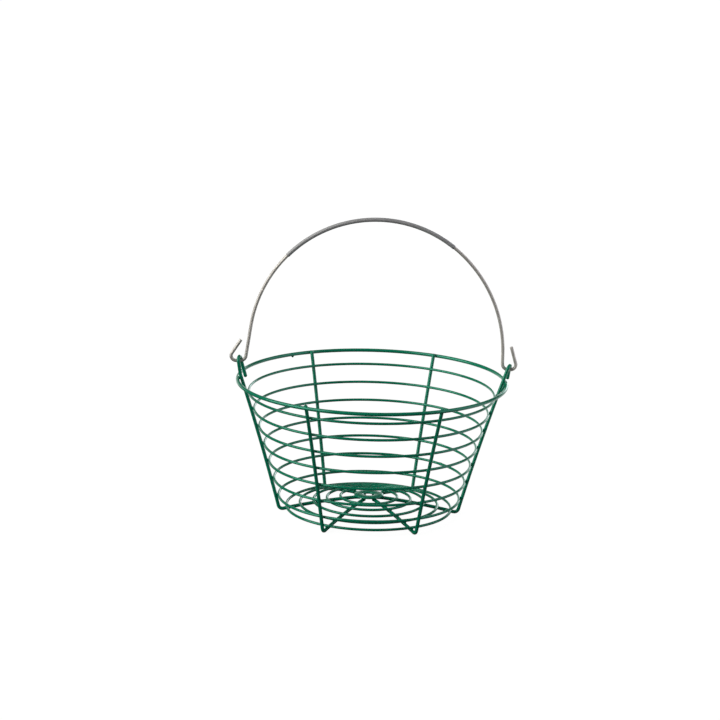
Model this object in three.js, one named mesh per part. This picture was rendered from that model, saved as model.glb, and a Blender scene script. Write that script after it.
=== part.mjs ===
// Welded wire egg basket with a swinging bail handle. Millimetres, +Z up.
// The origin is on the ground at the middle of the six feet. +X points to the right ear, +Y to the back.
import * as THREE from "three";

// Main sizes of the basket
const RIM_DIAMETER = 330; // outside of the rim wire
const RIM_HEIGHT = 165; // ground to the middle of the rim wire
const LEAN = THREE.MathUtils.degToRad(16.6); // outward lean of the uprights at half the rim's height
const BOW_RADIUS = 3000; // the uprights bow in a little between the feet and the rim
const HOOP_COUNT = 7;
const RING_COUNT = 5;

// Wire gauges, with the plastic coat
const RIM_WIRE = 4.5;
const RIB_WIRE = 4.4;
const HOOP_WIRE = 3.3;
const BAIL_WIRE = 4.2;
const WELD_GAP = 0.15; // between the faces of two wires that are welded together

// Side hoops, from the top down
const TOP_HOOP_HEIGHT = 150.4;
const HOOP_PITCH = 21.65;

// Ribs: each one is a spoke, a foot bend and an upright, in one piece of wire
const RIB_ABOVE_RIM = 3; // end of a plain rib above the middle of the rim wire
const FOOT_BEND = 5;
const FOOT_RISE = THREE.MathUtils.degToRad(14); // slope of the spoke where it leaves the foot
const DOME_RADIUS = 700; // the floor is pushed up into a shallow dome
const HUB_BEND = 15; // the spoke flattens out under the washer
const HUB_BEND_RADIUS = 16; // distance of that bend from the middle
const SPOKE_END = 9.5; // distance of the spoke's end from the middle

// Floor rings, from the middle out
const FIRST_RING = 34;
const RING_PITCH = 16.4;

// Washer in the middle of the floor
const WASHER_DIAMETER = 36;
const WASHER_HOLE = 12.4;
const WASHER_THICKNESS = 2.6;
const WASHER_ROUNDING = 0.9;

// Ears: the left and right ribs run on above the rim and turn over into a hairpin, bent by hand.
// Heights of the hairpin's top, of its free end and of the bail's hook in it, at the middle of the wire,
// then the hairpin's outward lean, its free leg's lean and its turn round its upright, in degrees.
// Seen from outside, the hairpin turns over to the right of its rib (side 1) or to the left (side -1).
const LEFT_EAR = { side: -1, top: 190.2, legEnd: 163.5, hook: 185.4, lean: 9, legLean: 16, turn: 14 };
const RIGHT_EAR = { side: 1, top: 186.9, legEnd: 167.6, hook: 181.2, lean: 18, legLean: 8, turn: 20 };
const EAR_START = 168; // height where the wire leaves the rib's own lean
const EAR_SET_BEND = 20; // bend there, and where the free leg leaves the hairpin
const EAR_BEND = 6;

// Ribs in their order round the basket, set by hand, so they are a little out of true. Angles in degrees.
// Each has its angle, and an ear or a twist, which leans the upright to its right as seen from outside.
const RIBS = [
  { name: "rib_right_ear", angle: 0, ear: RIGHT_EAR },
  { name: "rib_back_right", angle: 58.4, twist: 1 },
  { name: "rib_back_left", angle: 118.7, twist: -1.5 },
  { name: "rib_left_ear", angle: 180, ear: LEFT_EAR },
  { name: "rib_front_left", angle: 238.9, twist: 0.75 },
  { name: "rib_front_right", angle: 299.9, twist: 0 },
];

// Bail: an arch of bare wire with a hook at each end, bent by hand, so its two halves differ.
// A half has its shoulder's radius and angle from the top, and its hook's straight bottom, free end and lean.
const CROWN_RADIUS = 149;
const CROWN_HEIGHT = 178.8; // from the pivot to the top of the arch, at the middle of the wire
const BAIL_SPAN = 329; // between the middles of the two hooks
const BAIL_SHIFT = 1.8; // the bail hangs a little to the right in its ears
const HOOK_INNER_BEND = 7;
const HOOK_OUTER_BEND = 6;
const LEFT_HALF = { shoulder: 158, shoulderStart: 47, flat: 5, tip: 20, lean: 32 };
const RIGHT_HALF = { shoulder: 166, shoulderStart: 37.5, flat: 3.2, tip: 21.5, lean: 17 };

// Grip: a loose tube round the top of the arch, from shoulder to shoulder
const GRIP_DIAMETER = 5.3;
const GRIP_BORE = 4.6;

// Facets: sides of a wire, and steps round each hoop and bend
const WIRE_SIDES = 8;
const RIM_STEPS = 72;
const HOOP_STEPS = 48;
const RING_STEPS = [24, 24, 36, 36, 48];
const WASHER_STEPS = 36;
const ROUNDING_STEPS = 2;
const HUB_STEPS = 1;
const DOME_STEPS = 5;
const SOLE_STEPS = 1; // one flat at the lowest part of the foot
const FOOT_STEPS = 4;
const BOW_STEPS = 4;
const EAR_SET_STEPS = 1;
const EAR_STEPS = 8;
const HOOK_STEPS = 6;
const SHOULDER_STEPS = 10;
const CROWN_STEPS = 20;

// Sizes that follow from these
const RIM_RADIUS = (RIM_DIAMETER - RIM_WIRE) / 2;
const RIM_TO_RIB = (RIM_WIRE + RIB_WIRE) / 2 + WELD_GAP;
const HOOP_TO_RIB = (HOOP_WIRE + RIB_WIRE) / 2 + WELD_GAP;
const PIVOT_HEIGHT = (LEFT_EAR.hook + RIGHT_EAR.hook) / 2;
const BAIL_TILT = Math.asin((LEFT_EAR.hook - RIGHT_EAR.hook) / BAIL_SPAN); // the ears differ in height

const X_AXIS = new THREE.Vector3(1, 0, 0);
const Y_AXIS = new THREE.Vector3(0, 1, 0);

const greenCoat = new THREE.MeshStandardMaterial({ color: 0x0d5c3a, roughness: 0.35, metalness: 0 });
const zincWire = new THREE.MeshStandardMaterial({ color: 0xa9a69d, roughness: 0.35, metalness: 1 });
const greyTube = new THREE.MeshStandardMaterial({ color: 0x7d7f80, roughness: 0.5, metalness: 1 });

// The corners of a wire's section, with its flats the wire's diameter apart.
function sectionCorners(diameter) {
  const cornerRadius = diameter / 2 / Math.cos(Math.PI / WIRE_SIDES);
  const corners = [];
  for (let i = 0; i < WIRE_SIDES; i++) {
    const angle = ((i + 0.5) * 2 * Math.PI) / WIRE_SIDES;
    corners.push(new THREE.Vector2(Math.cos(angle), Math.sin(angle)).multiplyScalar(cornerRadius));
  }
  return corners;
}

// The centre line of a bent wire, followed as a wire bender makes it: straight runs and round bends.
// Sections stand at the ends of each run and at even steps round each bend.
class BentLine extends THREE.Curve {
  constructor(start, heading) {
    super();
    this.points = [start.clone()];
    this.headings = [heading.clone().normalize()];
  }

  get steps() {
    return this.points.length - 1;
  }

  run(length) {
    const heading = this.headings.at(-1);
    this.points.push(this.points.at(-1).clone().addScaledVector(heading, length));
    this.headings.push(heading.clone());
    return this;
  }

  // Turns by the right-hand rule about the axis, which is square to the heading.
  bend(radius, angle, axis, steps) {
    const side = Math.sign(angle);
    const firstHeading = this.headings.at(-1);
    const arm = new THREE.Vector3().crossVectors(firstHeading, axis).multiplyScalar(side * radius);
    const centre = this.points.at(-1).clone().sub(arm);
    for (let i = 1; i <= steps; i++) {
      const turned = (angle * i) / steps;
      this.points.push(arm.clone().applyAxisAngle(axis, turned).add(centre));
      this.headings.push(firstHeading.clone().applyAxisAngle(axis, turned));
    }
    return this;
  }

  getSpacedPoints() {
    return this.points;
  }

  getTangentAt(share) {
    return this.headings[Math.round(share * this.steps)].clone();
  }
}

// A wire along a bent line, hollow if it has a bore.
function wireGeometry(line, diameter, bore = 0) {
  const section = new THREE.Shape(sectionCorners(diameter));
  if (bore > 0) {
    section.holes.push(new THREE.Path(sectionCorners(bore)));
  }
  return new THREE.ExtrudeGeometry(section, { steps: line.steps, extrudePath: line });
}

// A level ring with the given closed outline, drawn as distance from the axis and height.
function turnedGeometry(outline, steps) {
  const closed = [...outline, outline[0].clone()];
  return new THREE.LatheGeometry(closed, steps).rotateX(Math.PI / 2);
}

// A hoop of wire. Its section is tilted so that one flat faces the wire that it is welded to.
function hoopGeometry(radius, diameter, tilt, steps) {
  const middle = new THREE.Vector2(radius, 0);
  const turn = new THREE.Vector2();
  const outline = sectionCorners(diameter).map((corner) => corner.rotateAround(turn, tilt).add(middle));
  return turnedGeometry(outline, steps);
}

function addMesh(parent, name, geometry, material) {
  const mesh = new THREE.Mesh(geometry, material);
  mesh.name = name;
  parent.add(mesh);
  return mesh;
}

// The uprights bow in along an arc round a point outside the basket. The rim lies on the outside of that arc.
const bowCentreHeight = RIM_HEIGHT / 2 - BOW_RADIUS * Math.sin(LEAN);
const rimLean = Math.asin((RIM_HEIGHT - bowCentreHeight) / (BOW_RADIUS - RIM_TO_RIB));
const bowCentreRadius = RIM_RADIUS + (BOW_RADIUS - RIM_TO_RIB) * Math.cos(rimLean);

// The wall's lean and its distance from the middle at a height, some way inside the uprights' centre lines.
function wallAt(height, inside) {
  const lean = Math.asin((height - bowCentreHeight) / (BOW_RADIUS + inside));
  const radius = bowCentreRadius - (BOW_RADIUS + inside) * Math.cos(lean);
  return { lean, radius };
}

// The rib's foot bend, seen square to the rib: its lowest flat lies on the ground.
const footCentreHeight = (FOOT_BEND + RIB_WIRE / 2) * Math.cos(FOOT_RISE);
const { lean: footLean, radius: footCentreRadius } = wallAt(footCentreHeight, FOOT_BEND);
const domeEdgeRadius = footCentreRadius - FOOT_BEND * Math.sin(FOOT_RISE);
const domeEdgeHeight = footCentreHeight - FOOT_BEND * Math.cos(FOOT_RISE);

// The slope and height of a spoke's centre line at a distance from the middle.
function spokeAt(radius) {
  const slope = Math.asin(Math.sin(FOOT_RISE) - (domeEdgeRadius - radius) / DOME_RADIUS);
  const height = domeEdgeHeight + DOME_RADIUS * (Math.cos(slope) - Math.cos(FOOT_RISE));
  return { slope, height };
}

const hubSlope = spokeAt(HUB_BEND_RADIUS).slope;
const hubHeight = spokeAt(HUB_BEND_RADIUS).height + HUB_BEND * (1 - Math.cos(hubSlope));

// Spoke, foot bend and upright, drawn along X from the middle outwards, up to the given height.
// A twisted rib is turned about itself between the foot's two bends.
function ribLine(topHeight, twist = 0) {
  const start = new THREE.Vector3(SPOKE_END, 0, hubHeight);
  const flat = HUB_BEND_RADIUS - HUB_BEND * Math.sin(hubSlope) - SPOKE_END;
  const upturn = Math.PI / 2 - footLean;
  const line = new BentLine(start, X_AXIS)
    .run(flat)
    .bend(HUB_BEND, hubSlope, Y_AXIS, HUB_STEPS)
    .bend(DOME_RADIUS, FOOT_RISE - hubSlope, Y_AXIS, DOME_STEPS)
    .bend(FOOT_BEND, -2 * FOOT_RISE, Y_AXIS, SOLE_STEPS);
  const bendAxis = Y_AXIS.clone().applyAxisAngle(line.headings.at(-1), -THREE.MathUtils.degToRad(twist));
  return line
    .bend(FOOT_BEND, FOOT_RISE - upturn, bendAxis, FOOT_STEPS)
    .bend(BOW_RADIUS, wallAt(topHeight, 0).lean - footLean, bendAxis, BOW_STEPS);
}

// How far behind its rib the middle of an ear is.
function earBack(ear) {
  return EAR_BEND * Math.cos(THREE.MathUtils.degToRad(ear.turn));
}

// A rib that runs on above the rim and turns over into an ear.
function earLine(ear) {
  const lean = THREE.MathUtils.degToRad(ear.lean);
  const legLean = THREE.MathUtils.degToRad(ear.legLean);
  const turn = THREE.MathUtils.degToRad(ear.turn);
  const setAngle = lean - wallAt(EAR_START, 0).lean;
  const line = ribLine(EAR_START).bend(EAR_SET_BEND, setAngle, Y_AXIS, EAR_SET_STEPS);
  const archStart = ear.top - EAR_BEND * Math.cos(lean);
  line.run((archStart - line.points.at(-1).z) / Math.cos(lean));
  const up = line.headings.at(-1);
  const across = new THREE.Vector3(Math.sin(turn), Math.cos(turn), 0).multiplyScalar(ear.side);
  const axis = new THREE.Vector3().crossVectors(up, across).normalize();
  line.bend(EAR_BEND, Math.PI, axis, EAR_STEPS);
  line.bend(EAR_SET_BEND, legLean - lean, Y_AXIS, EAR_SET_STEPS);
  return line.run((line.points.at(-1).z - ear.legEnd) / Math.cos(legLean));
}

function addRibs(parent) {
  for (const { name, angle, twist, ear } of RIBS) {
    const line = ear ? earLine(ear) : ribLine(RIM_HEIGHT + RIB_ABOVE_RIM, twist);
    const rib = addMesh(parent, name, wireGeometry(line, RIB_WIRE), greenCoat);
    rib.rotation.z = THREE.MathUtils.degToRad(angle);
  }
}

// The rim is welded to the outside of the ribs, so its facets lie outside its circle.
// The side hoops are welded to the inside of the ribs, and theirs lie inside.
function addHoops(parent) {
  const cornerRadius = RIM_RADIUS / Math.cos(Math.PI / RIM_STEPS);
  const rimGeometry = hoopGeometry(cornerRadius, RIM_WIRE, -rimLean, RIM_STEPS);
  addMesh(parent, "rim_hoop", rimGeometry, greenCoat).position.z = RIM_HEIGHT;
  for (let i = 0; i < HOOP_COUNT; i++) {
    const height = TOP_HOOP_HEIGHT - i * HOOP_PITCH;
    const { lean, radius } = wallAt(height, HOOP_TO_RIB);
    const geometry = hoopGeometry(radius, HOOP_WIRE, -lean, HOOP_STEPS);
    addMesh(parent, `side_hoop_${i + 1}`, geometry, greenCoat).position.z = height;
  }
}

// The floor rings lie on top of the spokes, square to their slope.
function addFloor(parent) {
  for (let i = 0; i < RING_COUNT; i++) {
    const spokeRadius = FIRST_RING + i * RING_PITCH;
    const { slope, height } = spokeAt(spokeRadius);
    const radius = spokeRadius + HOOP_TO_RIB * Math.sin(slope);
    const geometry = hoopGeometry(radius, HOOP_WIRE, -slope, RING_STEPS[i]);
    const ring = addMesh(parent, `floor_ring_${i + 1}`, geometry, greenCoat);
    ring.position.z = height + HOOP_TO_RIB * Math.cos(slope);
  }
  const washer = addMesh(parent, "centre_washer", turnedGeometry(washerOutline(), WASHER_STEPS), greenCoat);
  washer.position.z = hubHeight + RIB_WIRE / 2 + WELD_GAP;
}

// Half of the washer's section, with rounded corners, standing on height zero.
function washerOutline() {
  const outline = new THREE.Path();
  const inner = WASHER_HOLE / 2;
  const outer = WASHER_DIAMETER / 2;
  const top = WASHER_THICKNESS;
  const round = WASHER_ROUNDING;
  outline.moveTo(inner + round, 0);
  outline.lineTo(outer - round, 0);
  outline.quadraticCurveTo(outer, 0, outer, round);
  outline.lineTo(outer, top - round);
  outline.quadraticCurveTo(outer, top, outer - round, top);
  outline.lineTo(inner + round, top);
  outline.quadraticCurveTo(inner, top, inner, top - round);
  outline.lineTo(inner, round);
  outline.quadraticCurveTo(inner, 0, inner + round, 0);
  return outline.getPoints(ROUNDING_STEPS).slice(0, -1);
}

// One half of the bail, from the top of the arch to the end of its hook, with its angles in radians.
// The straight leg touches the shoulder and the hook's inner bend, which curve opposite ways.
function bailHalf({ shoulder, shoulderStart, flat, tip, lean }) {
  const crownAngle = THREE.MathUtils.degToRad(shoulderStart);
  const inset = CROWN_RADIUS - shoulder;
  const across = (BAIL_SPAN - flat) / 2 - inset * Math.sin(crownAngle);
  const drop = CROWN_HEIGHT - CROWN_RADIUS + inset * Math.cos(crownAngle) - HOOK_INNER_BEND;
  const centresApart = Math.hypot(across, drop);
  const radii = shoulder + HOOK_INNER_BEND;
  const hookAngle = Math.atan2(drop, across) + Math.asin(radii / centresApart);
  const leg = Math.sqrt(centresApart ** 2 - radii ** 2);
  const tipAngle = Math.PI / 2 + THREE.MathUtils.degToRad(lean);
  return { crownAngle, shoulder, shoulderAngle: hookAngle - crownAngle, leg, hookAngle, flat, tipAngle, tip };
}

// The whole bail in its own plane, from the left hook's tip to the right one's. Height zero is the pivot.
function bailLine(left, right) {
  const firstHeading = X_AXIS.clone().applyAxisAngle(Y_AXIS, left.tipAngle);
  const line = new BentLine(new THREE.Vector3(), firstHeading)
    .run(left.tip)
    .bend(HOOK_OUTER_BEND, -left.tipAngle, Y_AXIS, HOOK_STEPS)
    .run(left.flat);
  const flatEnd = new THREE.Vector3((left.flat - BAIL_SPAN) / 2, 0, 0);
  const shift = flatEnd.sub(line.points.at(-1));
  line.points.forEach((point) => point.add(shift));
  return line
    .bend(HOOK_INNER_BEND, -left.hookAngle, Y_AXIS, HOOK_STEPS)
    .run(left.leg)
    .bend(left.shoulder, left.shoulderAngle, Y_AXIS, SHOULDER_STEPS)
    .bend(CROWN_RADIUS, left.crownAngle + right.crownAngle, Y_AXIS, CROWN_STEPS)
    .bend(right.shoulder, right.shoulderAngle, Y_AXIS, SHOULDER_STEPS)
    .run(right.leg)
    .bend(HOOK_INNER_BEND, -right.hookAngle, Y_AXIS, HOOK_STEPS)
    .run(right.flat)
    .bend(HOOK_OUTER_BEND, -right.tipAngle, Y_AXIS, HOOK_STEPS)
    .run(right.tip);
}

function gripLine(left, right) {
  const start = new THREE.Vector3(0, 0, CROWN_RADIUS).applyAxisAngle(Y_AXIS, -left.crownAngle);
  start.z += CROWN_HEIGHT - CROWN_RADIUS;
  const heading = X_AXIS.clone().applyAxisAngle(Y_AXIS, -left.crownAngle);
  const turn = left.crownAngle + right.crownAngle;
  return new BentLine(start, heading).bend(CROWN_RADIUS, turn, Y_AXIS, CROWN_STEPS);
}

// The bail hangs in the ears, midway between their legs, and swings about its own X.
function addBail(parent) {
  const left = bailHalf(LEFT_HALF);
  const right = bailHalf(RIGHT_HALF);
  const bail = new THREE.Group();
  bail.position.set(BAIL_SHIFT, (earBack(LEFT_EAR) + earBack(RIGHT_EAR)) / 2, PIVOT_HEIGHT);
  bail.rotation.y = BAIL_TILT;
  addMesh(bail, "bail_wire", wireGeometry(bailLine(left, right), BAIL_WIRE), zincWire);
  addMesh(bail, "bail_grip", wireGeometry(gripLine(left, right), GRIP_DIAMETER, GRIP_BORE), greyTube);
  parent.add(bail);
}

const basket = new THREE.Group();
basket.name = "egg_basket";
addHoops(basket);
addRibs(basket);
addFloor(basket);
addBail(basket);

export default basket;
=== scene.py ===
# Looks of a welded wire egg basket, built round its CAD frame. Sizes are millimetres until a mesh is made.
import math

import bpy
import numpy as np
from mathutils import Matrix, Vector


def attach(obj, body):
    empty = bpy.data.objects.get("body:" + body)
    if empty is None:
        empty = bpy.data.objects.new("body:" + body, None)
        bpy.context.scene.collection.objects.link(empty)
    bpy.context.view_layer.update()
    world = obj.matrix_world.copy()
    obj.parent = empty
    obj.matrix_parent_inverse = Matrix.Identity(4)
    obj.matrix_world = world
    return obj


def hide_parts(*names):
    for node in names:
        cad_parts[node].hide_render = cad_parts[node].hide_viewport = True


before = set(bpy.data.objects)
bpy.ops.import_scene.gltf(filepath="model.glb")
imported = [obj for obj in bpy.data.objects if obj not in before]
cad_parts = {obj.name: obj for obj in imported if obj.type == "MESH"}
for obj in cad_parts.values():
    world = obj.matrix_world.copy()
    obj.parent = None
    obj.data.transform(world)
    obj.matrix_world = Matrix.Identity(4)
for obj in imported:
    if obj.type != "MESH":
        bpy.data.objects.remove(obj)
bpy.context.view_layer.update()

MM = 0.001
X_AXIS = np.array([1.0, 0.0, 0.0])
Y_AXIS = np.array([0.0, 1.0, 0.0])
Z_AXIS = np.array([0.0, 0.0, 1.0])

# Basket
RIM_DIAMETER = 330.0
RIM_HEIGHT = 165.0
LEAN = math.radians(16.6)
BOW_RADIUS = 3000.0
RIM_WIRE = 4.5
RIB_WIRE = 4.4
HOOP_WIRE = 3.3
WELD_GAP = 0.15
TOP_HOOP_HEIGHT = 150.4
HOOP_PITCH = 21.65
HOOP_COUNT = 7

# Ribs
RIB_ABOVE_RIM = 3.0
FOOT_BEND = 5.0
FOOT_RISE = math.radians(14)
DOME_RADIUS = 700.0
HUB_BEND = 15.0
HUB_BEND_RADIUS = 16.0
SPOKE_END = 9.5

# Ears: heights of the hairpin's top, its free end and the hook in it, then leans and turn in degrees
LEFT_EAR = {"side": -1, "top": 190.2, "leg_end": 163.5, "hook": 185.4, "lean": 9, "leg_lean": 16, "turn": 14}
RIGHT_EAR = {"side": 1, "top": 186.9, "leg_end": 167.6, "hook": 181.2, "lean": 18, "leg_lean": 8, "turn": 20}
EAR_START = 168.0
EAR_SET_BEND = 20.0
EAR_BEND = 6.0

# Ribs in order round the basket: angle, twist that leans the upright, and an ear on two of them
RIBS = [
    {"node": "rib_right_ear", "angle": 0, "twist": 0, "ear": RIGHT_EAR},
    {"node": "rib_back_right", "angle": 58.4, "twist": 1},
    {"node": "rib_back_left", "angle": 118.7, "twist": -1.5},
    {"node": "rib_left_ear", "angle": 180, "twist": 0, "ear": LEFT_EAR},
    {"node": "rib_front_left", "angle": 238.9, "twist": 0.75},
    {"node": "rib_front_right", "angle": 299.9, "twist": 0},
]

# Floor of the basket
FIRST_RING = 34.0
RING_PITCH = 16.4
RING_COUNT = 5
WASHER_DIAMETER = 36.0
WASHER_HOLE = 12.4
WASHER_THICKNESS = 2.6
WASHER_ROUNDING = 0.9
WASHER_CROWN = 0.7

# Bail and grip. A half of the bail has its shoulder's radius and start, and its hook's flat, tip and lean
BAIL_WIRE = 4.2
CROWN_RADIUS = 149.0
CROWN_HEIGHT = 178.8
BAIL_SPAN = 329.0
BAIL_SHIFT = 1.8
HOOK_INNER_BEND = 7.0
HOOK_OUTER_BEND = 6.0
LEFT_HALF = {"shoulder": 158, "shoulder_start": 47, "flat": 5, "tip": 20, "lean": 32}
RIGHT_HALF = {"shoulder": 166, "shoulder_start": 37.5, "flat": 3.2, "tip": 21.5, "lean": 17}
GRIP_DIAMETER = 5.3
GRIP_BORE = 4.6
GRIP_EDGE = 0.12
ROUND_BEND_EASE = 0.06

# A bare wire's cut end: distances from the end, with the share of the radius there
CUT_END = [(0.5, 1.0), (0.15, 0.96), (0.02, 0.86)]

# Plastic coat: uneven thickness in waves of (length, share), domed wire ends, and fillets round the welds
COAT_UNEVEN = 0.012
COAT_WAVES = [(41.0, 0.5), (17.0, 0.3), (7.3, 0.2)]
COAT_PHASE = 2.4
END_DOME = 1.7
END_DOME_ANGLE = math.radians(80)
FILLET_RISE = 1.25
FILLET_RISE_SPREAD = 0.2
FILLET_HOOP_PHASE = 7.1
FILLET_RIB_PHASE = 2.3
EAR_FILLET_RISE = 4.0
FILLET_NECK = 0.14
FILLET_LIP = 1.3
FILLET_WIDTH = 0.97
FILLET_ROOT = 0.5
LIP_SINK = 0.04

# Runs of coat that set as blunt drops, and one hoop's swollen butt weld. Shares are of a radius
DROP_ANGLE = math.radians(87)
DROP_BLUNTNESS = 6
RIM_DRIP = {"angle": math.radians(126.5), "length": 1.7, "share": 0.8, "taper": 0.2}
EAR_RUN = {"length": 12.5, "width": 4.3, "top_share": 0.75, "top_away": 3.1, "end_away": 2.4}
HOOP_NUB = {"hoop": 6, "angle": math.radians(38.5), "share": 0.28, "length": 1.8}

# Fineness of the meshes
WIRE_SIDES = 20
RUN_STEP = 4.0
BEND_STEP = math.radians(6)
BEND_CROWDING = 3
LEAST_BEND_STEPS = 2
HOOP_STEP = 3.0
STEEP = 0.9
DOME_STEPS = 5
END_CLEARANCE = 1.2
FILLET_SIDES = 28
FILLET_RINGS = 7
FILLET_SEARCHES = 30
RIM_DRIP_STEPS = 12
EAR_RUN_STEPS = 14
WASHER_STEPS = 96
WASHER_TOP_STEPS = 12
CORNER_STEPS = 6
WELD_SEARCH_STEP = 0.2

# Noise in the materials: the span of its values that a colour, a share or a roughness is spread over
USUAL_NOISE = (0.3, 0.7)
FINE_NOISE = (0.3, 0.72)
MOTTLE_NOISE = (0.35, 0.65)
SCUFF_NOISE = (0.35, 0.55)
DULL_NOISE = (0.35, 0.7)
DULL_SHARE_NOISE = (0.45, 0.7)
RUBBED_NOISE = (0.3, 0.75)

# Green coat: colours from dark to light, noise cells to the metre, and depths and heights in metres
BROAD_GREEN = ((0.001, 0.190, 0.100), (0.002, 0.235, 0.128))
FINE_GREEN = ((0.001, 0.170, 0.088), (0.003, 0.255, 0.138))
SCUFFED_GREEN = ((0.05, 0.12, 0.085), (0.09, 0.17, 0.13))
BROAD_CELLS = 22
FINE_CELLS = 240
MOTTLE_CELLS = 90
MOTTLE_SHARES = (0.25, 0.75)
SCUFF_CELLS = 900
SCUFF_SHARES = (0, 0.8)
SCUFF_HEIGHTS = (0.0002, 0.0022)
COAT_ROUGHNESS = (0.10, 0.20)
COAT_IOR = 1.7
COAT_GLOSS_TINT = (0.35, 0.85, 0.7, 1)
RIPPLES = {"depth": 0.0006, "strength": 0.3}
PEEL = {"depth": 0.00012, "strength": 0.08}
PEEL_CELLS = 620

# Steel of the bail, then of the grip. Streaks are noise with its own scale along the wire and round it
STREAK_CELLS = 3.0
BRIGHT_STEEL = ((0.54, 0.52, 0.494), (0.82, 0.79, 0.75))
DULL_STEEL = ((0.42, 0.40, 0.378), (0.58, 0.558, 0.53))
BAIL_STREAKS = {"along": 0.02, "round": 2.5}
BAIL_CELLS = 60
DULL_SHARES = (0, 0.7)
BAIL_ROUGHNESS = (0.46, 0.60)
BAIL_METALLIC = 0.6
BAIL_GROOVES = {"depth": 0.0001, "strength": 0.25}
CLOUDED_GREY = ((0.37, 0.373, 0.382), (0.49, 0.493, 0.505))
RUBBED_GREY = ((0.32, 0.322, 0.332), (0.55, 0.552, 0.565))
GRIP_STREAKS = {"along": 0.05, "round": 4.0}
GRIP_CELLS = 45
RUBBED_CELLS = 180
RUBBED_SHARES = (0.1, 0.6)
GRIP_ROUGHNESS = (0.45, 0.65)
GRIP_METALLIC = 0.3
GRIP_GROOVES = {"depth": 0.0001, "strength": 0.3}

# Camera, fitted to the hoops in the photograph
CAMERA_DISTANCE = 3277.7
CAMERA_ELEVATION = math.radians(13.335)
CAMERA_AZIMUTH = math.radians(-1.456)
CAMERA_ROLL = math.radians(1.557)
CAMERA_ASIDE = -15.26
CAMERA_AIM_HEIGHT = 190.5
CAMERA_LENS = 135.57
CAMERA_SENSOR = 36.0

# Floor in metres, and lights, whose spread is in degrees
FLOOR_SIZE = 60.0
FLOOR_DROP = 0.0001
FLOOR_COLOUR = (0.12, 0.12, 0.12, 1)
FLOOR_GLOW = 0.95
SWEEP = (0.05, 0.3)
LIGHTS = [
    {"name": "key", "strength": 2.6, "spread": 60, "from": (-0.85, -0.3, 0.45), "colour": (1, 0.99, 0.94)},
    {"name": "fill", "strength": 0.9, "spread": 60, "from": (0.85, -0.1, 0.35), "colour": (0.95, 0.92, 1)},
    {"name": "edge", "strength": 0.4, "spread": 26, "from": (0.33, 0.92, 0.18), "colour": (0.9, 0.97, 1)},
]

# Studio: spans of how far a direction points back or up, and levels of white
STUDIO_BACK = (0.4, 0.85)
STUDIO_BACK_TOP = (0.10, 0.34)
STUDIO_RISE = (0.2, 0.9)
STUDIO_LEVELS = (0.10, 0.16)
WHITE = (1, 1, 1, 1)

# Sizes that follow from these
RIM_RADIUS = (RIM_DIAMETER - RIM_WIRE) / 2
RIM_TO_RIB = (RIM_WIRE + RIB_WIRE) / 2 + WELD_GAP
HOOP_TO_RIB = (HOOP_WIRE + RIB_WIRE) / 2 + WELD_GAP
BOW_CENTRE_HEIGHT = RIM_HEIGHT / 2 - BOW_RADIUS * math.sin(LEAN)
RIM_LEAN = math.asin((RIM_HEIGHT - BOW_CENTRE_HEIGHT) / (BOW_RADIUS - RIM_TO_RIB))
BOW_CENTRE_RADIUS = RIM_RADIUS + (BOW_RADIUS - RIM_TO_RIB) * math.cos(RIM_LEAN)
PIVOT_HEIGHT = (LEFT_EAR["hook"] + RIGHT_EAR["hook"]) / 2
BAIL_TILT = math.asin((LEFT_EAR["hook"] - RIGHT_EAR["hook"]) / BAIL_SPAN)


def unit(vector):
    return np.asarray(vector, float) / np.linalg.norm(vector)


def turn_about(axis, angle):
    return np.array(Matrix.Rotation(angle, 3, Vector(axis)))


def around(count):
    """Even angles round a circle."""
    return np.arange(count) * 2 * math.pi / count


# Centre lines of the bent wires

class BentLine:
    """A wire's centre line as a wire bender makes it: straight runs and round bends."""

    def __init__(self, start, heading):
        self.points = [np.array(start, float)]
        self.headings = [unit(heading)]

    def run(self, length):
        start, heading = self.points[-1], self.headings[-1]
        steps = max(1, math.ceil(length / RUN_STEP))
        for share in np.arange(1, steps + 1) / steps:
            self.points.append(start + heading * length * share)
            self.headings.append(heading)
        return self

    def bend(self, radius, angle, axis):
        """Turns by the right-hand rule about the axis, which is square to the heading."""
        first = self.headings[-1]
        arm = np.cross(first, axis) * math.copysign(radius, angle)
        centre = self.points[-1] - arm
        by_angle = abs(angle) / BEND_STEP
        by_length = abs(angle) * radius / RUN_STEP
        wanted = max(min(by_angle, BEND_CROWDING * by_length), by_length)
        steps = max(LEAST_BEND_STEPS, math.ceil(wanted))
        for share in np.arange(1, steps + 1) / steps:
            turned = turn_about(axis, angle * share)
            self.points.append(centre + turned @ arm)
            self.headings.append(turned @ first)
        return self

    def moved(self, turned, shift):
        """A copy of the line, turned about the origin and then shifted."""
        copy = BentLine(self.points[0], self.headings[0])
        copy.points = [turned @ point + shift for point in self.points]
        copy.headings = [turned @ heading for heading in self.headings]
        return copy


def wall_at(height, inside):
    """The wall's lean and its distance from the middle, some way inside the uprights' centre lines."""
    lean = math.asin((height - BOW_CENTRE_HEIGHT) / (BOW_RADIUS + inside))
    return lean, BOW_CENTRE_RADIUS - (BOW_RADIUS + inside) * math.cos(lean)


FOOT_CENTRE_HEIGHT = (FOOT_BEND + RIB_WIRE / 2) * math.cos(FOOT_RISE)
FOOT_LEAN, FOOT_CENTRE_RADIUS = wall_at(FOOT_CENTRE_HEIGHT, FOOT_BEND)
DOME_EDGE_RADIUS = FOOT_CENTRE_RADIUS - FOOT_BEND * math.sin(FOOT_RISE)
DOME_EDGE_HEIGHT = FOOT_CENTRE_HEIGHT - FOOT_BEND * math.cos(FOOT_RISE)


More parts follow.
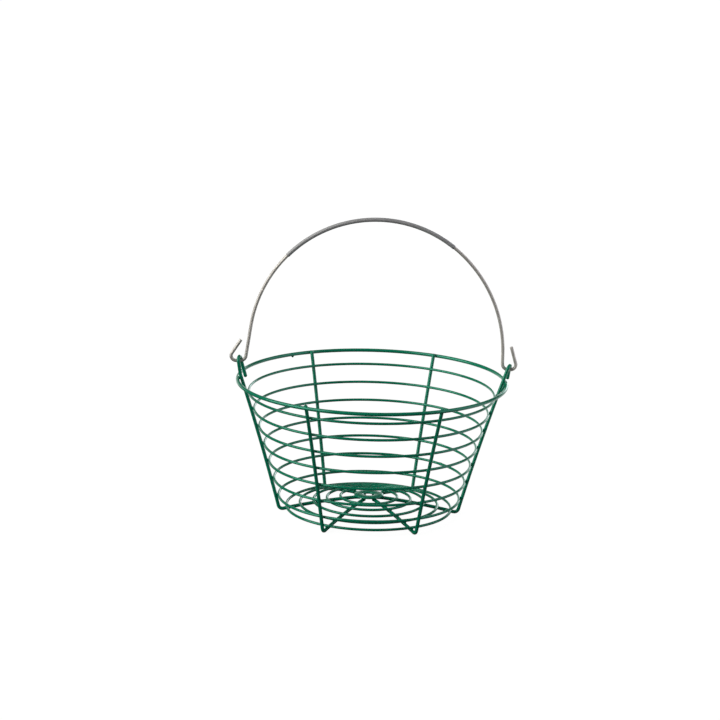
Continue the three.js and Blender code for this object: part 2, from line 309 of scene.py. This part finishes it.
def spoke_at(radius):
    """Slope and height of a spoke's centre line at a distance from the middle."""
    slope = math.asin(math.sin(FOOT_RISE) - (DOME_EDGE_RADIUS - radius) / DOME_RADIUS)
    height = DOME_EDGE_HEIGHT + DOME_RADIUS * (math.cos(slope) - math.cos(FOOT_RISE))
    return slope, height


HUB_SLOPE, HUB_BEND_HEIGHT = spoke_at(HUB_BEND_RADIUS)
HUB_HEIGHT = HUB_BEND_HEIGHT + HUB_BEND * (1 - math.cos(HUB_SLOPE))


def rib_line(top_height, twist):
    """Spoke, foot bend and upright along X, from the middle of the floor to the given height."""
    flat = HUB_BEND_RADIUS - HUB_BEND * math.sin(HUB_SLOPE) - SPOKE_END
    line = BentLine([SPOKE_END, 0, HUB_HEIGHT], X_AXIS)
    line.run(flat)
    line.bend(HUB_BEND, HUB_SLOPE, Y_AXIS)
    line.bend(DOME_RADIUS, FOOT_RISE - HUB_SLOPE, Y_AXIS)
    line.bend(FOOT_BEND, -2 * FOOT_RISE, Y_AXIS)
    bend_axis = turn_about(line.headings[-1], -math.radians(twist)) @ Y_AXIS
    line.bend(FOOT_BEND, FOOT_RISE + FOOT_LEAN - math.pi / 2, bend_axis)
    return line.bend(BOW_RADIUS, wall_at(top_height, 0)[0] - FOOT_LEAN, bend_axis)


def ear_line(ear):
    """A rib that runs on above the rim and turns over into a hairpin."""
    lean, leg_lean, turn = (math.radians(ear[name]) for name in ("lean", "leg_lean", "turn"))
    line = rib_line(EAR_START, 0).bend(EAR_SET_BEND, lean - wall_at(EAR_START, 0)[0], Y_AXIS)
    arch_start = ear["top"] - EAR_BEND * math.cos(lean)
    line.run((arch_start - line.points[-1][2]) / math.cos(lean))
    across = ear["side"] * np.array([math.sin(turn), math.cos(turn), 0])
    line.bend(EAR_BEND, math.pi, unit(np.cross(line.headings[-1], across)))
    line.bend(EAR_SET_BEND, leg_lean - lean, Y_AXIS)
    return line.run((line.points[-1][2] - ear["leg_end"]) / math.cos(leg_lean))


def bail_half(half):
    """Angles and lengths of one half of the bail. The leg touches the shoulder and the hook's inner bend."""
    crown_angle = math.radians(half["shoulder_start"])
    inset = CROWN_RADIUS - half["shoulder"]
    across = (BAIL_SPAN - half["flat"]) / 2 - inset * math.sin(crown_angle)
    drop = CROWN_HEIGHT - CROWN_RADIUS + inset * math.cos(crown_angle) - HOOK_INNER_BEND
    apart = math.hypot(across, drop)
    radii = half["shoulder"] + HOOK_INNER_BEND
    hook_angle = math.atan2(drop, across) + math.asin(radii / apart)
    return {
        **half,
        "crown_angle": crown_angle,
        "shoulder_angle": hook_angle - crown_angle,
        "hook_angle": hook_angle,
        "leg": math.sqrt(apart**2 - radii**2),
        "tip_angle": math.pi / 2 + math.radians(half["lean"]),
    }


def hang_bail(line):
    """Moves a line from the bail's own plane, where height zero is the pivot, into the ears."""
    backs = [EAR_BEND * math.cos(math.radians(ear["turn"])) for ear in (LEFT_EAR, RIGHT_EAR)]
    pivot = np.array([BAIL_SHIFT, sum(backs) / 2, PIVOT_HEIGHT])
    return line.moved(turn_about(Y_AXIS, BAIL_TILT), pivot)


def bail_line(left, right):
    """The whole bail, from the tip of its left hook to the tip of its right hook."""
    line = BentLine([0, 0, 0], turn_about(Y_AXIS, left["tip_angle"]) @ X_AXIS)
    line.run(left["tip"])
    line.bend(HOOK_OUTER_BEND, -left["tip_angle"], Y_AXIS)
    line.run(left["flat"])
    flat_end = np.array([(left["flat"] - BAIL_SPAN) / 2, 0, 0])
    line = line.moved(np.eye(3), flat_end - line.points[-1])
    line.bend(HOOK_INNER_BEND, -left["hook_angle"], Y_AXIS)
    line.run(left["leg"])
    line.bend(left["shoulder"], left["shoulder_angle"], Y_AXIS)
    line.bend(CROWN_RADIUS, left["crown_angle"] + right["crown_angle"], Y_AXIS)
    line.bend(right["shoulder"], right["shoulder_angle"], Y_AXIS)
    line.run(right["leg"])
    line.bend(HOOK_INNER_BEND, -right["hook_angle"], Y_AXIS)
    line.run(right["flat"])
    line.bend(HOOK_OUTER_BEND, -right["tip_angle"], Y_AXIS)
    line.run(right["tip"])
    return hang_bail(line)


def grip_line(left, right):
    """The bail's crown, which the grip covers."""
    first = turn_about(Y_AXIS, -left["crown_angle"])
    start = first @ (CROWN_RADIUS * Z_AXIS) + (CROWN_HEIGHT - CROWN_RADIUS) * Z_AXIS
    line = BentLine(start, first @ X_AXIS)
    line.bend(CROWN_RADIUS, left["crown_angle"] + right["crown_angle"], Y_AXIS)
    return hang_bail(line)


def circle_line(radius, height):
    """A level hoop's centre line. Its last point stands one step before its first."""
    angles = around(math.ceil(2 * math.pi * radius / HOOP_STEP))
    line = BentLine([radius, 0, height], Y_AXIS)
    line.points = [np.array([radius * math.cos(a), radius * math.sin(a), height]) for a in angles]
    line.headings = [np.array([-math.sin(a), math.cos(a), 0]) for a in angles]
    return line


# Shells: vertices, faces, and each vertex's place on its wire as (millimetres along, cosine, sine round it)

def distances(points):
    return np.concatenate([[0], np.cumsum(np.linalg.norm(np.diff(points, axis=0), axis=1))])


def ring_faces(rings, sides, closed):
    """The quads between neighbouring rings of vertices."""
    faces = []
    for ring in range(rings if closed else rings - 1):
        here, there = ring * sides, (ring + 1) % rings * sides
        for i in range(sides):
            j = (i + 1) % sides
            faces.append((here + i, here + j, there + j, there + i))
    return faces


def pole_faces(rings, sides):
    """The fans that close the first and last rings on the two points that follow all the rings."""
    last = (rings - 1) * sides
    first_pole, last_pole = rings * sides, rings * sides + 1
    faces = []
    for i in range(sides):
        j = (i + 1) % sides
        faces.append((first_pole, j, i))
        faces.append((last_pole, last + i, last + j))
    return faces


def tube(points, headings, radii, closed=False, poles=False):
    """A round skin through the stations, carried along without twist."""
    angles = around(WIRE_SIDES)
    cosines, sines = np.cos(angles), np.sin(angles)
    along = distances(points)
    normal = Z_AXIS if abs(headings[0][2]) < STEEP else X_AXIS
    vertices, places = [], []
    for point, heading, radius, distance in zip(points, headings, radii, along):
        normal = unit(normal - heading * np.dot(normal, heading))
        ring = np.outer(cosines, normal) + np.outer(sines, np.cross(heading, normal))
        vertices.extend(point + radius * ring)
        places.extend(zip(np.full(WIRE_SIDES, distance), cosines, sines))
    faces = ring_faces(len(points), WIRE_SIDES, closed)
    if poles:
        vertices.extend([points[0], points[-1]])
        places.extend([(0, 0, 0), (along[-1], 0, 0)])
        faces += pole_faces(len(points), WIRE_SIDES)
    return np.array(vertices), faces, np.array(places)


def coat_swell(along, seed):
    """Thickness of a dipped coat along a wire, as a share of the plain radius."""
    phase = seed * COAT_PHASE
    swell = sum(size * np.sin(2 * math.pi * along / wave + phase) for wave, size in COAT_WAVES)
    return 1 - COAT_UNEVEN + COAT_UNEVEN * swell


def domed_end():
    """A coated wire's end: distances from the end, with the share of the radius there."""
    angles = np.linspace(0, END_DOME_ANGLE, DOME_STEPS)
    return [(END_DOME * (1 - math.sin(a)), math.cos(a)) for a in angles]


def ended_wire(line, radius, end, seed=None):
    """A wire whose two ends follow the given end. A seed gives it a coat's uneven thickness."""
    points, headings = np.array(line.points), np.array(line.headings)
    along = distances(points)
    clear = end[0][0] * END_CLEARANCE
    inside = (along > clear) & (along < along[-1] - clear)
    even = np.ones(inside.sum())
    middle = radius * (even if seed is None else coat_swell(along[inside], seed))
    shares = np.array([share for _, share in end])
    start_points = [points[0] + headings[0] * distance for distance, _ in end][::-1]
    end_points = [points[-1] - headings[-1] * distance for distance, _ in end]
    all_points = np.concatenate([start_points, points[inside], end_points])
    start_headings = np.repeat(headings[:1], len(end), axis=0)
    end_headings = np.repeat(headings[-1:], len(end), axis=0)
    all_headings = np.concatenate([start_headings, headings[inside], end_headings])
    radii = np.concatenate([middle[0] * shares[::-1], middle, middle[-1] * shares])
    return tube(all_points, all_headings, radii, poles=True)


def hollow_tube(line, outer, bore):
    """A tube with eased ends: out along its outside and back along its bore."""
    points, headings = np.array(line.points), np.array(line.headings)
    eased = [points[0] + headings[0] * GRIP_EDGE, points[-1] - headings[-1] * GRIP_EDGE]
    outside = np.concatenate([points[:1], eased[:1], points[1:-1], eased[1:], points[-1:]])
    outside_headings = headings[[0, 0, *range(1, len(headings) - 1), -1, -1]]
    outside_radii = np.full(len(outside), outer)
    outside_radii[[0, -1]] = outer - GRIP_EDGE
    all_points = np.concatenate([outside, points[::-1]])
    all_headings = np.concatenate([outside_headings, headings[::-1]])
    radii = np.concatenate([outside_radii, np.full(len(points), bore)])
    return tube(all_points, all_headings, radii, closed=True)


def turned_ring(profile, height):
    """A ring turned from a closed outline of (distance from the axis, height)."""
    vertices, places = [], []
    for angle in around(WASHER_STEPS):
        for radius, rise in profile:
            vertices.append((radius * math.cos(angle), radius * math.sin(angle), height + rise))
            places.append((radius * angle, math.cos(angle), math.sin(angle)))
    faces = [face[::-1] for face in ring_faces(WASHER_STEPS, len(profile), True)]
    return np.array(vertices), faces, np.array(places)


def washer_profile():
    """Half of the washer's section, anticlockwise. The coat rounds its corners and crowns its top."""
    r, crown = WASHER_ROUNDING, WASHER_CROWN
    inner, outer, top = WASHER_HOLE / 2, WASHER_DIAMETER / 2, WASHER_THICKNESS - WASHER_CROWN
    corners = [(inner + r, r, 180), (outer - r, r, 270), (outer - r, top - r, 0), (inner + r, top - r, 90)]
    middle, half = (inner + outer) / 2, (outer - inner) / 2
    profile = []
    for x, z, first in corners:
        for angle in np.radians(np.linspace(first, first + 90, CORNER_STEPS)):
            profile.append((x + r * math.cos(angle), z + r * math.sin(angle)))
        if first == 0:
            across = np.linspace(outer - r, inner + r, WASHER_TOP_STEPS)[1:-1]
            profile.extend((x, top) for x in across)
    lift = WASHER_THICKNESS / top
    return [(x, z * (lift - crown / top * ((x - middle) / half) ** 2)) for x, z in profile]


# Coat at the welds, and the runs that set under the rim

def wire_face(radius, aside):
    """How far a wire's surface stands from its axis, seen some way to the side of it."""
    return np.sqrt(np.maximum(radius**2 - aside**2, 0.0))


def fillet_rings(cosines, sines, hoop_radius, rise):
    """A fillet from the rib to the hoop, as rings of (reach from its middle, height over the rib's axis)."""
    rib_radius = RIB_WIRE / 2
    apart = rib_radius + hoop_radius + WELD_GAP

    def rib_top(reach):
        return wire_face(rib_radius, reach * cosines)

    def hoop_bottom(reach):
        return apart - wire_face(hoop_radius, reach * sines)

    across = np.maximum(np.abs(cosines) / rib_radius, np.abs(sines) / hoop_radius)
    widest = FILLET_WIDTH / across
    reach, beyond = np.zeros(FILLET_SIDES), widest
    for _ in range(FILLET_SEARCHES):
        middle = (reach + beyond) / 2
        filled = hoop_bottom(middle) - rib_top(middle) < rise
        reach, beyond = np.where(filled, middle, reach), np.where(filled, beyond, middle)
    lip = np.minimum(reach * FILLET_LIP, widest)
    low, high = rib_top(reach), hoop_bottom(reach)
    rings = [(lip, rib_top(lip) - LIP_SINK)]
    for share in np.linspace(0, 1, FILLET_RINGS):
        drawn_in = 1 - FILLET_NECK * math.sin(math.pi * share)
        rings.append((reach * drawn_in, low + (high - low) * share))
    rings.append((lip, hoop_bottom(lip) + LIP_SINK))
    return rings


def weld_coat(rib_point, along_rib, to_hoop, hoop_radius, rise):
    """The coat drawn into the corner between a rib and the wire that is welded across it."""
    along_hoop = np.cross(along_rib, to_hoop)
    angles = around(FILLET_SIDES)
    cosines, sines = np.cos(angles), np.sin(angles)
    rings = fillet_rings(cosines, sines, hoop_radius, rise)
    vertices = []
    for reach, height in rings:
        flat = np.outer(reach * cosines, along_hoop) + np.outer(reach * sines, along_rib)
        vertices.extend(rib_point + flat + np.outer(height, to_hoop))
    vertices.append(rib_point + to_hoop * (RIB_WIRE / 2 - FILLET_ROOT))
    vertices.append(rib_point + to_hoop * (RIB_WIRE / 2 + WELD_GAP + FILLET_ROOT))
    places = np.tile(np.stack([np.zeros(FILLET_SIDES), cosines, sines], axis=1), (len(rings), 1))
    places = np.concatenate([places, np.zeros((2, 3))])
    faces = ring_faces(len(rings), FILLET_SIDES, False) + pole_faces(len(rings), FILLET_SIDES)
    return np.array(vertices), faces, places


def weld_place(line, radius, height):
    """Where a rib comes nearest to a level hoop: the point, the rib's heading and the way to the hoop."""
    along = distances(line.points)
    fine = np.arange(0, along[-1], WELD_SEARCH_STEP)
    points = np.stack([np.interp(fine, along, axis) for axis in np.transpose(line.points)], axis=1)
    away = np.hypot(np.hypot(points[:, 0], points[:, 1]) - radius, points[:, 2] - height)
    nearest = away.argmin()
    rib_point = points[nearest]
    heading = unit(points[nearest + 1] - points[nearest - 1])
    outward = unit(rib_point * (1, 1, 0))
    return rib_point, heading, unit(radius * outward + height * Z_AXIS - rib_point)


def weld_coats(uprights, radius, height, wire, seed, ear_rise=FILLET_RISE):
    """The coat at each weld of one hoop, which can be heavier at the two ears."""
    shells = []
    for i, (rib, line) in enumerate(zip(RIBS, uprights)):
        rib_point, heading, to_hoop = weld_place(line, radius, height)
        along_rib = unit(heading - to_hoop * np.dot(heading, to_hoop))
        rise = ear_rise if "ear" in rib else FILLET_RISE
        rise += FILLET_RISE_SPREAD * math.sin(FILLET_HOOP_PHASE * seed + FILLET_RIB_PHASE * i)
        shells.append(weld_coat(rib_point, along_rib, to_hoop, wire / 2, rise))
    return shells


def drop_shares(steps):
    """Shares of a drop's length, closer together towards its end."""
    return np.sin(np.linspace(0, DROP_ANGLE, steps))


def drop_end(shares):
    """The blunt rounding of a drop's end, as shares of its radius."""
    return np.sqrt(1 - shares**DROP_BLUNTNESS)


def rim_drip():
    """A run of coat that set as a drop under the rim."""
    outward = np.array([math.cos(RIM_DRIP["angle"]), math.sin(RIM_DRIP["angle"]), 0])
    top = RIM_RADIUS * outward + RIM_HEIGHT * Z_AXIS
    length = RIM_WIRE / 2 + RIM_DRIP["length"]
    shares = drop_shares(RIM_DRIP_STEPS)
    points = [top - Z_AXIS * length * share for share in shares]
    radii = RIM_DRIP["share"] * RIM_WIRE / 2 * (1 - RIM_DRIP["taper"] * shares**2) * drop_end(shares)
    return tube(points, [-Z_AXIS] * len(points), radii, poles=True)


def ear_run(line):
    """A heavy run of coat that set below the rim's weld, against the outside of the rib."""
    rib_point, heading, to_hoop = weld_place(line, RIM_RADIUS, RIM_HEIGHT)
    shares = drop_shares(EAR_RUN_STEPS)
    away = EAR_RUN["top_away"] + (EAR_RUN["end_away"] - EAR_RUN["top_away"]) * shares**2
    points = rib_point + np.outer(away, to_hoop) - np.outer(EAR_RUN["length"] * shares, heading)
    radii = EAR_RUN["width"] / 2 * np.minimum(EAR_RUN["top_share"] + shares, 1) * drop_end(shares)
    return tube(points, [-heading] * len(points), radii, poles=True)


# Materials

def new_material(name):
    material = bpy.data.materials.new(name)
    material.use_nodes = True
    return material, material.node_tree, material.node_tree.nodes["Principled BSDF"]


def noise(tree, vector, scale, detail=3.0):
    node = tree.nodes.new("ShaderNodeTexNoise")
    node.inputs["Scale"].default_value = scale
    node.inputs["Detail"].default_value = detail
    tree.links.new(vector, node.inputs["Vector"])
    return node.outputs["Fac"]


def remap(tree, value, span, results):
    """Carries a span of values, as (low, high), over to a span of results."""
    node = tree.nodes.new("ShaderNodeMapRange")
    node.inputs["From Min"].default_value = span[0]
    node.inputs["From Max"].default_value = span[1]
    node.inputs["To Min"].default_value = results[0]
    node.inputs["To Max"].default_value = results[1]
    tree.links.new(value, node.inputs["Value"])
    return node.outputs["Result"]


def smooth_step(tree, value, span):
    """Nought below the span and one above it, with a soft change between."""
    result = remap(tree, value, span, (0, 1))
    result.node.interpolation_type = "SMOOTHSTEP"
    return result


def ramp(tree, value, span, colours):
    """A colour for each value, from the first colour at the span's start to the second at its end."""
    node = tree.nodes.new("ShaderNodeValToRGB")
    for element, position, colour in zip(node.color_ramp.elements, span, colours):
        element.position = position
        element.color = (*colour, 1)
    tree.links.new(value, node.inputs["Fac"])
    return node.outputs["Color"]


def mix_colours(tree, factor, first, second):
    node = tree.nodes.new("ShaderNodeMix")
    node.data_type = "RGBA"
    tree.links.new(factor, node.inputs["Factor"])
    tree.links.new(first, node.inputs["A"])
    tree.links.new(second, node.inputs["B"])
    return node.outputs["Result"]


def combine(tree, operation, first, second):
    node = tree.nodes.new("ShaderNodeMath")
    node.operation = operation
    tree.links.new(first, node.inputs[0])
    tree.links.new(second, node.inputs[1])
    return node.outputs["Value"]


def split_axes(tree, vector):
    node = tree.nodes.new("ShaderNodeSeparateXYZ")
    tree.links.new(vector, node.inputs["Vector"])
    return node.outputs


def bump(tree, height, relief, under=None):
    """Relief of some depth and strength, on top of another one where that is given."""
    node = tree.nodes.new("ShaderNodeBump")
    node.inputs["Distance"].default_value = relief["depth"]
    node.inputs["Strength"].default_value = relief["strength"]
    tree.links.new(height, node.inputs["Height"])
    if under:
        tree.links.new(under, node.inputs["Normal"])
    return node.outputs["Normal"]


def object_place(tree):
    return tree.nodes.new("ShaderNodeTexCoord").outputs["Object"]


def wire_streaks(tree, streaks):
    """Noise drawn out along the wire."""
    attribute = tree.nodes.new("ShaderNodeAttribute")
    attribute.attribute_name = "wire_place"
    mapping = tree.nodes.new("ShaderNodeMapping")
    mapping.inputs["Scale"].default_value = (streaks["along"], streaks["round"], streaks["round"])
    tree.links.new(attribute.outputs["Vector"], mapping.inputs["Vector"])
    return noise(tree, mapping.outputs["Vector"], STREAK_CELLS, detail=4)


def green_coat_material():
    """Dipped plastic: deep green, glossy, a little uneven, scuffed pale under the feet."""
    material, tree, shader = new_material("green_coat")
    place = object_place(tree)
    broad = noise(tree, place, BROAD_CELLS)
    fine = noise(tree, place, FINE_CELLS, detail=5)
    broad_green = ramp(tree, broad, USUAL_NOISE, BROAD_GREEN)
    fine_green = ramp(tree, fine, FINE_NOISE, FINE_GREEN)
    mottle = remap(tree, noise(tree, place, MOTTLE_CELLS), MOTTLE_NOISE, MOTTLE_SHARES)
    green = mix_colours(tree, mottle, broad_green, fine_green)
    near_ground = remap(tree, split_axes(tree, place)["Z"], SCUFF_HEIGHTS, (1, 0))
    scuffs = remap(tree, noise(tree, place, SCUFF_CELLS), SCUFF_NOISE, SCUFF_SHARES)
    scuffed = combine(tree, "MULTIPLY", near_ground, scuffs)
    pale = ramp(tree, fine, USUAL_NOISE, SCUFFED_GREEN)
    tree.links.new(mix_colours(tree, scuffed, green, pale), shader.inputs["Base Color"])
    tree.links.new(remap(tree, fine, USUAL_NOISE, COAT_ROUGHNESS), shader.inputs["Roughness"])
    peel = noise(tree, place, PEEL_CELLS, detail=2)
    tree.links.new(bump(tree, peel, PEEL, bump(tree, broad, RIPPLES)), shader.inputs["Normal"])
    shader.inputs["IOR"].default_value = COAT_IOR
    shader.inputs["Specular Tint"].default_value = COAT_GLOSS_TINT
    return material


def bail_steel_material():
    """Bright drawn wire: streaks along it and dull patches."""
    material, tree, shader = new_material("bail_steel")
    streaks = wire_streaks(tree, BAIL_STREAKS)
    patches = noise(tree, object_place(tree), BAIL_CELLS, detail=4)
    bright = ramp(tree, streaks, USUAL_NOISE, BRIGHT_STEEL)
    dull = ramp(tree, patches, DULL_NOISE, DULL_STEEL)
    dull_share = remap(tree, patches, DULL_SHARE_NOISE, DULL_SHARES)
    tree.links.new(mix_colours(tree, dull_share, bright, dull), shader.inputs["Base Color"])
    tree.links.new(remap(tree, streaks, USUAL_NOISE, BAIL_ROUGHNESS), shader.inputs["Roughness"])
    tree.links.new(bump(tree, streaks, BAIL_GROOVES), shader.inputs["Normal"])
    shader.inputs["Metallic"].default_value = BAIL_METALLIC
    return material


def grip_steel_material():
    """Dull grey tube: cloudy, with fine rubbed lines along it."""
    material, tree, shader = new_material("grip_steel")
    lines = wire_streaks(tree, GRIP_STREAKS)
    clouds = noise(tree, object_place(tree), GRIP_CELLS, detail=4)
    grey = ramp(tree, clouds, USUAL_NOISE, CLOUDED_GREY)
    rubbed = ramp(tree, lines, RUBBED_NOISE, RUBBED_GREY)
    patches = noise(tree, object_place(tree), RUBBED_CELLS)
    rubbed_share = remap(tree, patches, USUAL_NOISE, RUBBED_SHARES)
    tree.links.new(mix_colours(tree, rubbed_share, grey, rubbed), shader.inputs["Base Color"])
    tree.links.new(remap(tree, lines, USUAL_NOISE, GRIP_ROUGHNESS), shader.inputs["Roughness"])
    tree.links.new(bump(tree, lines, GRIP_GROOVES), shader.inputs["Normal"])
    shader.inputs["Metallic"].default_value = GRIP_METALLIC
    return material


# Pieces

def make_piece(name, shells, material, body, node):
    """One mesh object made of several shells, shown in place of a CAD node. It stays above the ground."""
    vertices, faces, places, first = [], [], [], 0
    for shell_vertices, shell_faces, shell_places in shells:
        vertices.append(shell_vertices)
        places.append(shell_places)
        faces.extend(tuple(first + i for i in face) for face in shell_faces)
        first += len(shell_vertices)
    vertices = np.concatenate(vertices)
    vertices[:, 2] = np.maximum(vertices[:, 2], 0)
    mesh = bpy.data.meshes.new(name)
    mesh.from_pydata((vertices * MM).tolist(), [], faces)
    wire_places = mesh.attributes.new("wire_place", "FLOAT_VECTOR", "POINT")
    wire_places.data.foreach_set("vector", np.concatenate(places).astype(np.float32).ravel())
    mesh.shade_smooth()
    mesh.materials.append(material)
    piece = bpy.data.objects.new(name, mesh)
    bpy.context.scene.collection.objects.link(piece)
    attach(piece, body)
    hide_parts(node)


def coated_piece(node, shells, material):
    make_piece(f"{node}_coated", shells, material, "basket", node)


def hoop_shell(radius, height, wire, seed, nubbed=False):
    """A closed hoop of coated wire. A nub is the swelling at its butt weld."""
    line = circle_line(radius, height)
    along = np.arange(len(line.points)) * 2 * math.pi * radius / len(line.points)
    radii = wire / 2 * coat_swell(along, seed)
    if nubbed:
        from_nub = (along - radius * HOOP_NUB["angle"]) / HOOP_NUB["length"]
        radii *= 1 + HOOP_NUB["share"] * np.exp(-(from_nub**2))
    return tube(np.array(line.points), np.array(line.headings), radii, closed=True)


def in_place(rib, line):
    return line.moved(turn_about(Z_AXIS, math.radians(rib["angle"])), np.zeros(3))


def upright_lines():
    """The ribs' centre lines up to a little above the rim, where every weld is."""
    return [in_place(rib, rib_line(RIM_HEIGHT + RIB_ABOVE_RIM, rib["twist"])) for rib in RIBS]


def add_ribs(uprights, material):
    for seed, (rib, upright) in enumerate(zip(RIBS, uprights)):
        line = in_place(rib, ear_line(rib["ear"])) if "ear" in rib else upright
        coated_piece(rib["node"], [ended_wire(line, RIB_WIRE / 2, domed_end(), seed)], material)


def add_rim(uprights, material):
    shells = [hoop_shell(RIM_RADIUS, RIM_HEIGHT, RIM_WIRE, 0)]
    shells += weld_coats(uprights, RIM_RADIUS, RIM_HEIGHT, RIM_WIRE, 0, EAR_FILLET_RISE)
    shells.append(rim_drip())
    shells += [ear_run(line) for rib, line in zip(RIBS, uprights) if rib.get("ear") is RIGHT_EAR]
    coated_piece("rim_hoop", shells, material)


def add_side_hoops(uprights, material):
    for number in range(1, HOOP_COUNT + 1):
        height = TOP_HOOP_HEIGHT - (number - 1) * HOOP_PITCH
        radius = wall_at(height, HOOP_TO_RIB)[1]
        shells = [hoop_shell(radius, height, HOOP_WIRE, number, number == HOOP_NUB["hoop"])]
        shells += weld_coats(uprights, radius, height, HOOP_WIRE, number)
        coated_piece(f"side_hoop_{number}", shells, material)


def add_floor_rings(uprights, material):
    for number in range(1, RING_COUNT + 1):
        spoke_radius = FIRST_RING + (number - 1) * RING_PITCH
        slope, spoke_height = spoke_at(spoke_radius)
        radius = spoke_radius + HOOP_TO_RIB * math.sin(slope)
        height = spoke_height + HOOP_TO_RIB * math.cos(slope)
        seed = HOOP_COUNT + number
        shells = [hoop_shell(radius, height, HOOP_WIRE, seed)]
        shells += weld_coats(uprights, radius, height, HOOP_WIRE, seed)
        coated_piece(f"floor_ring_{number}", shells, material)


def add_washer(material):
    height = HUB_HEIGHT + RIB_WIRE / 2 + WELD_GAP
    coated_piece("centre_washer", [turned_ring(washer_profile(), height)], material)


def add_bail(steel, grip_steel):
    left, right = bail_half(LEFT_HALF), bail_half(RIGHT_HALF)
    wire = ended_wire(bail_line(left, right), BAIL_WIRE / 2 - ROUND_BEND_EASE, CUT_END)
    make_piece("bail_wire_bare", [wire], steel, "bail", "bail_wire")
    grip = hollow_tube(grip_line(left, right), GRIP_DIAMETER / 2 - ROUND_BEND_EASE, GRIP_BORE / 2)
    make_piece("bail_grip_tube", [grip], grip_steel, "bail", "bail_grip")


# Floor, studio, lights and camera

def add_floor():
    """A plain floor. It glows white to the camera, and to reflections behind the object and on its right."""
    bpy.ops.mesh.primitive_plane_add(size=FLOOR_SIZE, location=(0, 0, -FLOOR_DROP))
    floor = bpy.context.object
    floor.name = "floor"
    material, tree, shader = new_material("floor")
    tree.nodes.remove(shader)
    diffuse = tree.nodes.new("ShaderNodeBsdfDiffuse")
    diffuse.inputs["Color"].default_value = FLOOR_COLOUR
    ray = tree.nodes.new("ShaderNodeLightPath").outputs
    place = split_axes(tree, object_place(tree))
    behind = smooth_step(tree, combine(tree, "ADD", place["X"], place["Y"]), SWEEP)
    reflected = combine(tree, "MULTIPLY", ray["Is Glossy Ray"], behind)
    seen = combine(tree, "MAXIMUM", ray["Is Camera Ray"], reflected)
    glow = tree.nodes.new("ShaderNodeEmission")
    tree.links.new(remap(tree, seen, (0, 1), (0, FLOOR_GLOW)), glow.inputs["Strength"])
    both = tree.nodes.new("ShaderNodeAddShader")
    tree.links.new(diffuse.outputs["BSDF"], both.inputs[0])
    tree.links.new(glow.outputs["Emission"], both.inputs[1])
    tree.links.new(both.outputs["Shader"], tree.nodes["Material Output"].inputs["Surface"])
    floor.data.materials.append(material)


def add_studio():
    """A studio, white low down behind the object and dim elsewhere. To the camera it is white all round."""
    world = bpy.data.worlds.new("studio")
    bpy.context.scene.world = world
    world.use_nodes = True
    tree = world.node_tree
    direction = split_axes(tree, tree.nodes.new("ShaderNodeTexCoord").outputs["Generated"])
    back = smooth_step(tree, direction["Y"], STUDIO_BACK)
    low_back = combine(tree, "MULTIPLY", back, remap(tree, direction["Z"], STUDIO_BACK_TOP, (1, 0)))
    elsewhere = remap(tree, direction["Z"], STUDIO_RISE, STUDIO_LEVELS)
    seen = tree.nodes.new("ShaderNodeLightPath").outputs["Is Camera Ray"]
    level = combine(tree, "MAXIMUM", seen, combine(tree, "MAXIMUM", low_back, elsewhere))
    background = tree.nodes["Background"]
    tree.links.new(level, background.inputs["Strength"])
    background.inputs["Color"].default_value = WHITE


def add_soft_light(light):
    """A broad, even light from one direction."""
    data = bpy.data.lights.new(light["name"], "SUN")
    data.energy = light["strength"]
    data.angle = math.radians(light["spread"])
    data.color = light["colour"]
    lamp = bpy.data.objects.new(light["name"], data)
    lamp.rotation_euler = Vector(light["from"]).to_track_quat("Z", "Y").to_euler()
    bpy.context.scene.collection.objects.link(lamp)


def add_camera():
    azimuth, elevation = CAMERA_AZIMUTH, CAMERA_ELEVATION
    level = math.cos(elevation)
    back = Vector((math.sin(azimuth) * level, -math.cos(azimuth) * level, math.sin(elevation)))
    right = Vector((math.cos(azimuth), math.sin(azimuth), 0))
    up = back.cross(right)
    place = right * CAMERA_ASIDE + Vector((0, 0, CAMERA_AIM_HEIGHT)) + back * CAMERA_DISTANCE
    rolled_right = right * math.cos(CAMERA_ROLL) + up * math.sin(CAMERA_ROLL)
    rolled_up = up * math.cos(CAMERA_ROLL) - right * math.sin(CAMERA_ROLL)
    data = bpy.data.cameras.new("camera")
    data.sensor_width = CAMERA_SENSOR
    data.lens = CAMERA_LENS
    camera = bpy.data.objects.new("camera", data)
    turned = Matrix((rolled_right, rolled_up, back)).transposed().to_4x4()
    camera.matrix_world = Matrix.Translation(place * MM) @ turned
    bpy.context.scene.collection.objects.link(camera)
    bpy.context.scene.camera = camera


green_coat = green_coat_material()
uprights = upright_lines()
add_ribs(uprights, green_coat)
add_rim(uprights, green_coat)
add_side_hoops(uprights, green_coat)
add_floor_rings(uprights, green_coat)
add_washer(green_coat)
add_bail(bail_steel_material(), grip_steel_material())
add_floor()
add_studio()
for light in LIGHTS:
    add_soft_light(light)
add_camera()
bpy.context.scene.view_settings.view_transform = "Standard"
